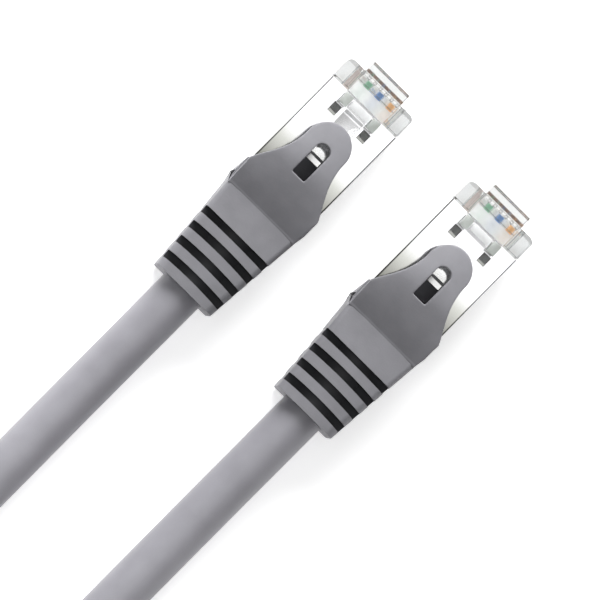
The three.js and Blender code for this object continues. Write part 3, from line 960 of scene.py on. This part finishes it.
def make_boot(letter):
    """Strain relief boot: collar over the shield, four grooves through to its inner sleeve, painted
    shade in them.
    """
    # Each is the place along the boot, then its width, top, top edges' radius, crown and draft.
    stations = (
        (BOOT_END, 9.9, 9.8, 1.3, 0.6, 0.015),
        (GROOVE_Y, 11.4, BOOT_TOP, 0.85, 0.3, 0.015),
        (CREASE_Y, 12.1, BOOT_TOP, 0.7, 0.1, 0.01),
        (COLLAR_LOW_Y, BOOT_W, BOOT_TOP, 0.6, 0.0, 0.0),
        (COLLAR_Y, BOOT_W, BOOT_TOP, 0.6, 0.0, 0.0),
    )
    bm = bmesh.new()
    loft(bm, [boot_section(*station) for station in stations])
    piece = new_object(f"boot_shell_{letter}", bm, BOOT)
    slant = [
        (COLLAR_Y, ABOVE_BOOT), (COLLAR_Y, SHELF_Z), (COLLAR_LOW_Y, COLLAR_LOW_Z),
        (COLLAR_LOW_Y, BELOW_BOOT), (COLLAR_Y + 4, BELOW_BOOT), (COLLAR_Y + 4, ABOVE_BOOT),
    ]
    hinge_y, hinge_z = HINGE
    recess = arc(hinge_y, hinge_z, KNUCKLE_R + 0.02, 0, 360, 40)[:-1]
    mouth_x = BODY_W / 2 + MOUTH_GAP
    sleeve_r = CORD_D / 2 + 0.45
    grooves = []
    for groove in range(GROOVES):
        y1 = GROOVE_Y - groove * GROOVE_PITCH
        y0 = y1 - GROOVE_W
        front_arch = 0.0 if groove == 0 else 0.2
        rear_arch = 0.1 if groove == 0 else 0.2
        for z0, z1 in ((AXIS_Z + RAIL_H / 2, ABOVE_BOOT), (BELOW_BOOT, AXIS_Z - RAIL_H / 2)):
            # The groove walls and the sleeve in the grooves are near black: painted shade.
            slab = solid(groove_cutter, y0, y1, front_arch, rear_arch, z0, z1, material=RECESS_SHADE)
            cut(slab, solid(bar, sleeve_r, -40, -20, material=SLEEVE_SHADE))
            grooves.append(slab)
    cut(
        piece,
        solid(
            box, -BESIDE_BOOT, BESIDE_BOOT, CREASE_Y - 0.08, COLLAR_Y + 1, SHELF_Z, ABOVE_BOOT
        ),
        solid(side_prism, recess, -BESIDE_BOOT, BESIDE_BOOT),
        solid(side_prism, slant, -BESIDE_BOOT, BESIDE_BOOT),
        solid(
            rounded_box, -mouth_x, mouth_x, SHIELD_REAR - FACE_GAP, COLLAR_Y + 1,
            BODY_LOW - MOUTH_GAP, BODY_TOP + MOUTH_GAP, 0.5,
        ),
        solid(bar, RING_R + RING_WALL + 0.15, RING_REAR - 0.2, SHIELD_REAR),
        solid(bar, CORD_D / 2 + 0.06, BOOT_END - 1, SHIELD_REAR),
        *grooves,
    )
    # The tab is near black: painted shade under the tongue's slot.
    tab = solid(
        box, -TAB_W / 2, TAB_W / 2, COLLAR_Y - OVERLAP, TAB_Y, TAB_LOW, TAB_TOP, material=RECESS_SHADE
    )
    join(piece, tab)
    bevel(tidy(piece), 0.16, 3, material=0)
    place(piece, letter, "cable", "boot_pvc", f"boot_{letter}")


def make_tongue(letter):
    """Snag guard: springs from the boot's crease over the latch lever, with a slot to see it by."""
    hinge_y, hinge_z = HINGE
    root_y = hinge_y + 0.02
    widest = (TONGUE_CORNER_X, COLLAR_Y)
    taper = bezier((widest, (5.1, -16.6), (TONGUE_R + 0.3, -15.1), (TONGUE_R, -11.7)), 16)
    flank = [(TONGUE_ROOT_X, root_y), widest] + [tuple(point) for point in taper[1:]]
    side = smooth_line([
        (hinge_y, BOOT_TOP, 0), (-20.3, 11.7, 0), (-17.8, 12.72, 0), (-15.5, 13.4, 0),
        (-13.4, 13.5, 0), (-10.9, 13.12, 0), (-9.0, 12.7, 0), (TONGUE_TIP, 12.35, 0),
    ], 0.35)
    columns = 36
    rows = []
    for y, z, _ in side:
        half = value_at(flank, y)
        across = [(half + 0.6) * (2 * i / columns - 1) for i in range(columns + 1)]
        crown = 0.32 * smoothstep((y - root_y) / 6.0)
        top = [(x, y, z - crown * (x / half) ** 2) for x in across]
        under = [(x, y, zt - TONGUE_T) for x, _, zt in reversed(top)]
        rows.append(top + under)
    bm = bmesh.new()
    loft(bm, rows)
    piece = new_object(f"snag_guard_{letter}", bm, BOOT)
    flank += arc(0, TONGUE_TIP - TONGUE_R, TONGUE_R, 0, 90, 20)
    outline = flank + [(-x, y) for x, y in reversed(flank[:-1])]
    slot = arc(0, TONGUE_SLOT_Y, TONGUE_SLOT_R, 0, 180, 20)
    slot += [(x, TONGUE_SLOT_REAR) for x in (-TONGUE_SLOT_R, TONGUE_SLOT_R)]
    combine(piece, "INTERSECT", [solid(plan_prism, outline, 7, 15)])
    cut(piece, solid(plan_prism, slot, 7, 15))
    knuckle = bmesh.new()
    knuckle.from_mesh(piece.data)
    knuckle_x = TONGUE_ROOT_X - 0.05
    side_prism(knuckle, arc(hinge_y, hinge_z, KNUCKLE_R, 0, 360, 40)[:-1], -knuckle_x, knuckle_x)
    knuckle.to_mesh(piece.data)
    knuckle.free()
    remesh = piece.modifiers.new("remesh", "REMESH")
    remesh.mode = "VOXEL"
    remesh.voxel_size = 0.11
    soften = piece.modifiers.new("soften", "SMOOTH")
    soften.factor = 0.5
    soften.iterations = 5
    apply_modifiers(piece)
    place(piece, letter, f"tongue_{letter}", "boot_pvc", f"tongue_{letter}", smooth=180.0)


# ---- Cord ---------------------------------------------------------------------------------
# The left lead's axis, from the jacket's end in the boot to the hank, in the left plug's frame
# with x from the middle plane. The right lead is its mirror image, and starts further back.
LEAD = [
    (-11.25, -21.9, 5.2),
    (-11.25, -26, 5.2),
    (-11.25, -32, 5.2),
    (-11.25, -38, 5.15),
    (-11.25, -45, 4.6),
    (-11.25, -52, 3.85),
    (-11.25, -59, 3.35),
    (-11.25, -66, 3.2),
    (-11.25, -73, 3.2),
    (-11.25, -79.1, 3.2),
    (-11.75, -84.2, 3.2),
    (-13.3, -89.0, 3.25),
    (-15.7, -93.5, 3.35),
    (-19.0, -97.4, 3.5),
    (-22.5, -101.6, 3.65),
    (-25.1, -106.3, 3.7),
    (-26.7, -111.5, 3.7),
]
STRAIGHT_POINTS = 9
TURNS = 4


def hank_points(step=2.0, twist_run=12.0):
    """Four turns side by side in a bundle two wide and two high. At the far end the bundle turns a
    quarter way about its own middle, so that each turn comes up one place further on."""
    centre_r = FOLD_R + CORD_D / 2
    offset = CORD_D / math.sqrt(2)
    low = TIE_T + CORD_D / 2
    half_turn = math.pi * centre_r
    far = HANK_Y - HANK_RUN
    lap = 2 * (HANK_RUN + half_turn)
    points = []
    for turn in range(TURNS):
        last = turn == TURNS - 1
        length = lap - half_turn if last else lap
        count = round(length / step)
        for i in range(count + 1 if last else count):
            s = length * i / count
            if s < HANK_RUN:
                middle, out = (-centre_r, HANK_Y - s), (-1.0, 0.0)
            elif s < HANK_RUN + half_turn:
                a = math.pi + (s - HANK_RUN) / centre_r
                out = (math.cos(a), math.sin(a))
                middle = (centre_r * out[0], far + centre_r * out[1])
            elif s < 2 * HANK_RUN + half_turn:
                middle, out = (centre_r, far + s - HANK_RUN - half_turn), (1.0, 0.0)
            else:
                a = (s - 2 * HANK_RUN - half_turn) / centre_r
                out = (math.cos(a), math.sin(a))
                middle = (centre_r * out[0], HANK_Y + centre_r * out[1])
            share = smoothstep((s - HANK_RUN + twist_run) / (half_turn + 2 * twist_run))
            angle = math.radians(-45.0 - 90.0 * (turn + share))
            across = offset * math.cos(angle)
            points.append((
                middle[0] + out[0] * across,
                middle[1] + out[1] * across,
                low + offset * (math.sin(angle) + math.cos(math.radians(45.0 - 90.0 * share))),
            ))
    return points


def cord_line():
    """The whole cord's axis in millimetres, from the left boot round the hank to the right one."""
    back = ENDS["a"][1] - ENDS["b"][1]
    right = [(-x, y - (back if i < STRAIGHT_POINTS else 0.0), z) for i, (x, y, z) in enumerate(LEAD)]
    hank = hank_points()
    line = smooth_line(LEAD + hank[:1], 2.0)[:-1] + [Vector(p) for p in hank]
    line += smooth_line([hank[-1]] + right[::-1], 2.0)[1:]
    return line


def make_cord(ties):
    line = [(point + Vector((0, ENDS["a"][1], 0))) * MM for point in cord_line()]
    curve = bpy.data.curves.new("cord", "CURVE")
    curve.dimensions = "3D"
    curve.bevel_depth = CORD_D / 2 * MM
    curve.bevel_resolution = 10
    curve.use_fill_caps = True
    spline = curve.splines.new("POLY")
    spline.points.add(len(line) - 1)
    for point, place_of in zip(spline.points, line):
        point.co = (*place_of, 1.0)
    spline.use_smooth = True
    cord = bpy.data.objects.new("cord", curve)
    bpy.context.scene.collection.objects.link(cord)
    curve.materials.append(JACKET)
    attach(cord, "cable")
    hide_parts("lead_a", "lead_b", "hank")


def make_tie(name, side):
    """Cloth strap round one side of the hank, its end pressed down on itself on top."""
    centre_x = side * (FOLD_R + CORD_D / 2)
    middle_y = HANK_Y - HANK_RUN / 2
    half = CORD_D + TIE_T
    top = TIE_T * 2 + 2 * CORD_D
    outer = rounded(-half, half, 0.0, top, CORD_D / 2 + TIE_T, 10)
    inner = rounded(TIE_T - half, half - TIE_T, TIE_T, top - TIE_T, CORD_D / 2, 10)
    bm = bmesh.new()
    ends = (middle_y - TIE_W / 2, middle_y + TIE_W / 2)
    rows = [
        [(centre_x + p[0], ends[0], p[1]), (centre_x + p[0], ends[1], p[1]),
         (centre_x + q[0], ends[1], q[1]), (centre_x + q[0], ends[0], q[1])]
        for p, q in zip(outer, inner)
    ]
    loft(bm, rows, endless=True)
    flap = [
        [(centre_x + x, y, z) for y, z in (
            (ends[0] + 0.4, lift), (ends[1] - 0.4, lift),
            (ends[1] - 0.4, lift + TIE_T), (ends[0] + 0.4, lift + TIE_T),
        )]
        for x, lift in ((-3.4, top - 0.25), (-2.6, top - 0.1), (2.2, top - 0.1), (4.4, top - 0.02))
    ]
    loft(bm, flap)
    piece = new_object(f"strap_{name}", bm, STRAP)
    bevel(piece, 0.1, 2, 40)
    return place(piece, None, "cable", "tie_strap", f"tie_{name}", smooth=45.0)


# ---- Camera, floor and light --------------------------------------------------------------
VIEW_CENTRE = Vector((0.0005, -0.0095, 0.0085))
VIEW_WIDTH = 0.0784
VIEW_DISTANCE = 1.5
VIEW_TURN = math.radians(44.7)
TILT_LEFT = math.radians(3.0)
TILT_BACK = math.radians(3.5)


def add_camera():
    """Telephoto, looking almost straight down, a little from the left and from behind."""
    data = bpy.data.cameras.new("camera")
    data.sensor_width = 36.0
    data.lens = data.sensor_width * VIEW_DISTANCE / VIEW_WIDTH
    data.clip_start = 0.01
    data.clip_end = 10.0
    camera = bpy.data.objects.new("camera", data)
    bpy.context.scene.collection.objects.link(camera)
    towards = Vector((-math.tan(TILT_LEFT), -math.tan(TILT_BACK), 1.0)).normalized()
    up = Vector((-math.sin(VIEW_TURN), math.cos(VIEW_TURN), 0.0))
    right = up.cross(towards).normalized()
    up = towards.cross(right)
    camera.matrix_world = (
        Matrix.Translation(VIEW_CENTRE + towards * VIEW_DISTANCE)
        @ Matrix((right, up, towards)).transposed().to_4x4()
    )
    bpy.context.scene.camera = camera


def add_light(name, place_of, size, energy, aim=(0.0, -0.02, 0.0)):
    data = bpy.data.lights.new(name, "AREA")
    data.shape = "DISK"
    data.size = size
    data.energy = energy
    lamp = bpy.data.objects.new(name, data)
    bpy.context.scene.collection.objects.link(lamp)
    lamp.location = place_of
    lamp.rotation_mode = "QUATERNION"
    lamp.rotation_quaternion = (Vector(aim) - Vector(place_of)).to_track_quat("-Z", "Y")


def add_floor():
    shader = Shader("floor_paper")
    shader.clouded((0.93, 0.93, 0.93), 300.0, 0.01)
    shader.set(Roughness=0.9, Specular_IOR_Level=0.1)
    shader.set(Emission_Color=(1.0, 1.0, 1.0, 1.0), Emission_Strength=0.55)
    bm = bmesh.new()
    bmesh.ops.create_grid(bm, x_segments=2, y_segments=2, size=3.0)
    floor = new_object("floor", bm, shader.material)
    floor.location = (0, 0, -0.00005)


def add_studio():
    """World that is bright straight overhead, darkest in a band round that and a little lighter at
    the horizon, with a low key light."""
    world = bpy.data.worlds.new("studio")
    world.use_nodes = True
    tree = world.node_tree
    background = tree.nodes["Background"]
    direction = tree.nodes.new("ShaderNodeTexCoord").outputs["Generated"]
    split = tree.nodes.new("ShaderNodeSeparateXYZ")
    tree.links.new(direction, split.inputs["Vector"])
    fade = tree.nodes.new("ShaderNodeValToRGB")
    tree.links.new(split.outputs["Z"], fade.inputs["Fac"])
    stops = ((0.0, 0.28), (0.45, 0.22), (0.65, 0.07), (0.85, 0.07), (0.93, 0.8), (0.975, 1.5))
    elements = fade.color_ramp.elements
    while len(elements) < len(stops):
        elements.new(0.5)
    for element, (position, level) in zip(elements, stops):
        element.position = position
        element.color = (level, level, level, 1.0)
    tree.links.new(fade.outputs["Color"], background.inputs["Color"])
    background.inputs["Strength"].default_value = 1.0
    bpy.context.scene.world = world
    add_light("key", (-0.44, 0.75, 0.52), 0.9, 18.5)
    bpy.context.scene.view_settings.view_transform = "Standard"


# ---- Assembly -----------------------------------------------------------------------------
add_camera()
add_floor()
add_studio()
make_cord([make_tie("left", -1), make_tie("right", 1)])
for letter in "ab":
    make_housing(letter)
    make_shield(letter)
    make_latch(letter)
    make_load_bar(letter)
    for way in range(1, WAYS + 1):
        make_contact(letter, way)
        make_conductor(letter, way)
    make_braid(letter)
    make_boot(letter)
    make_tongue(letter)
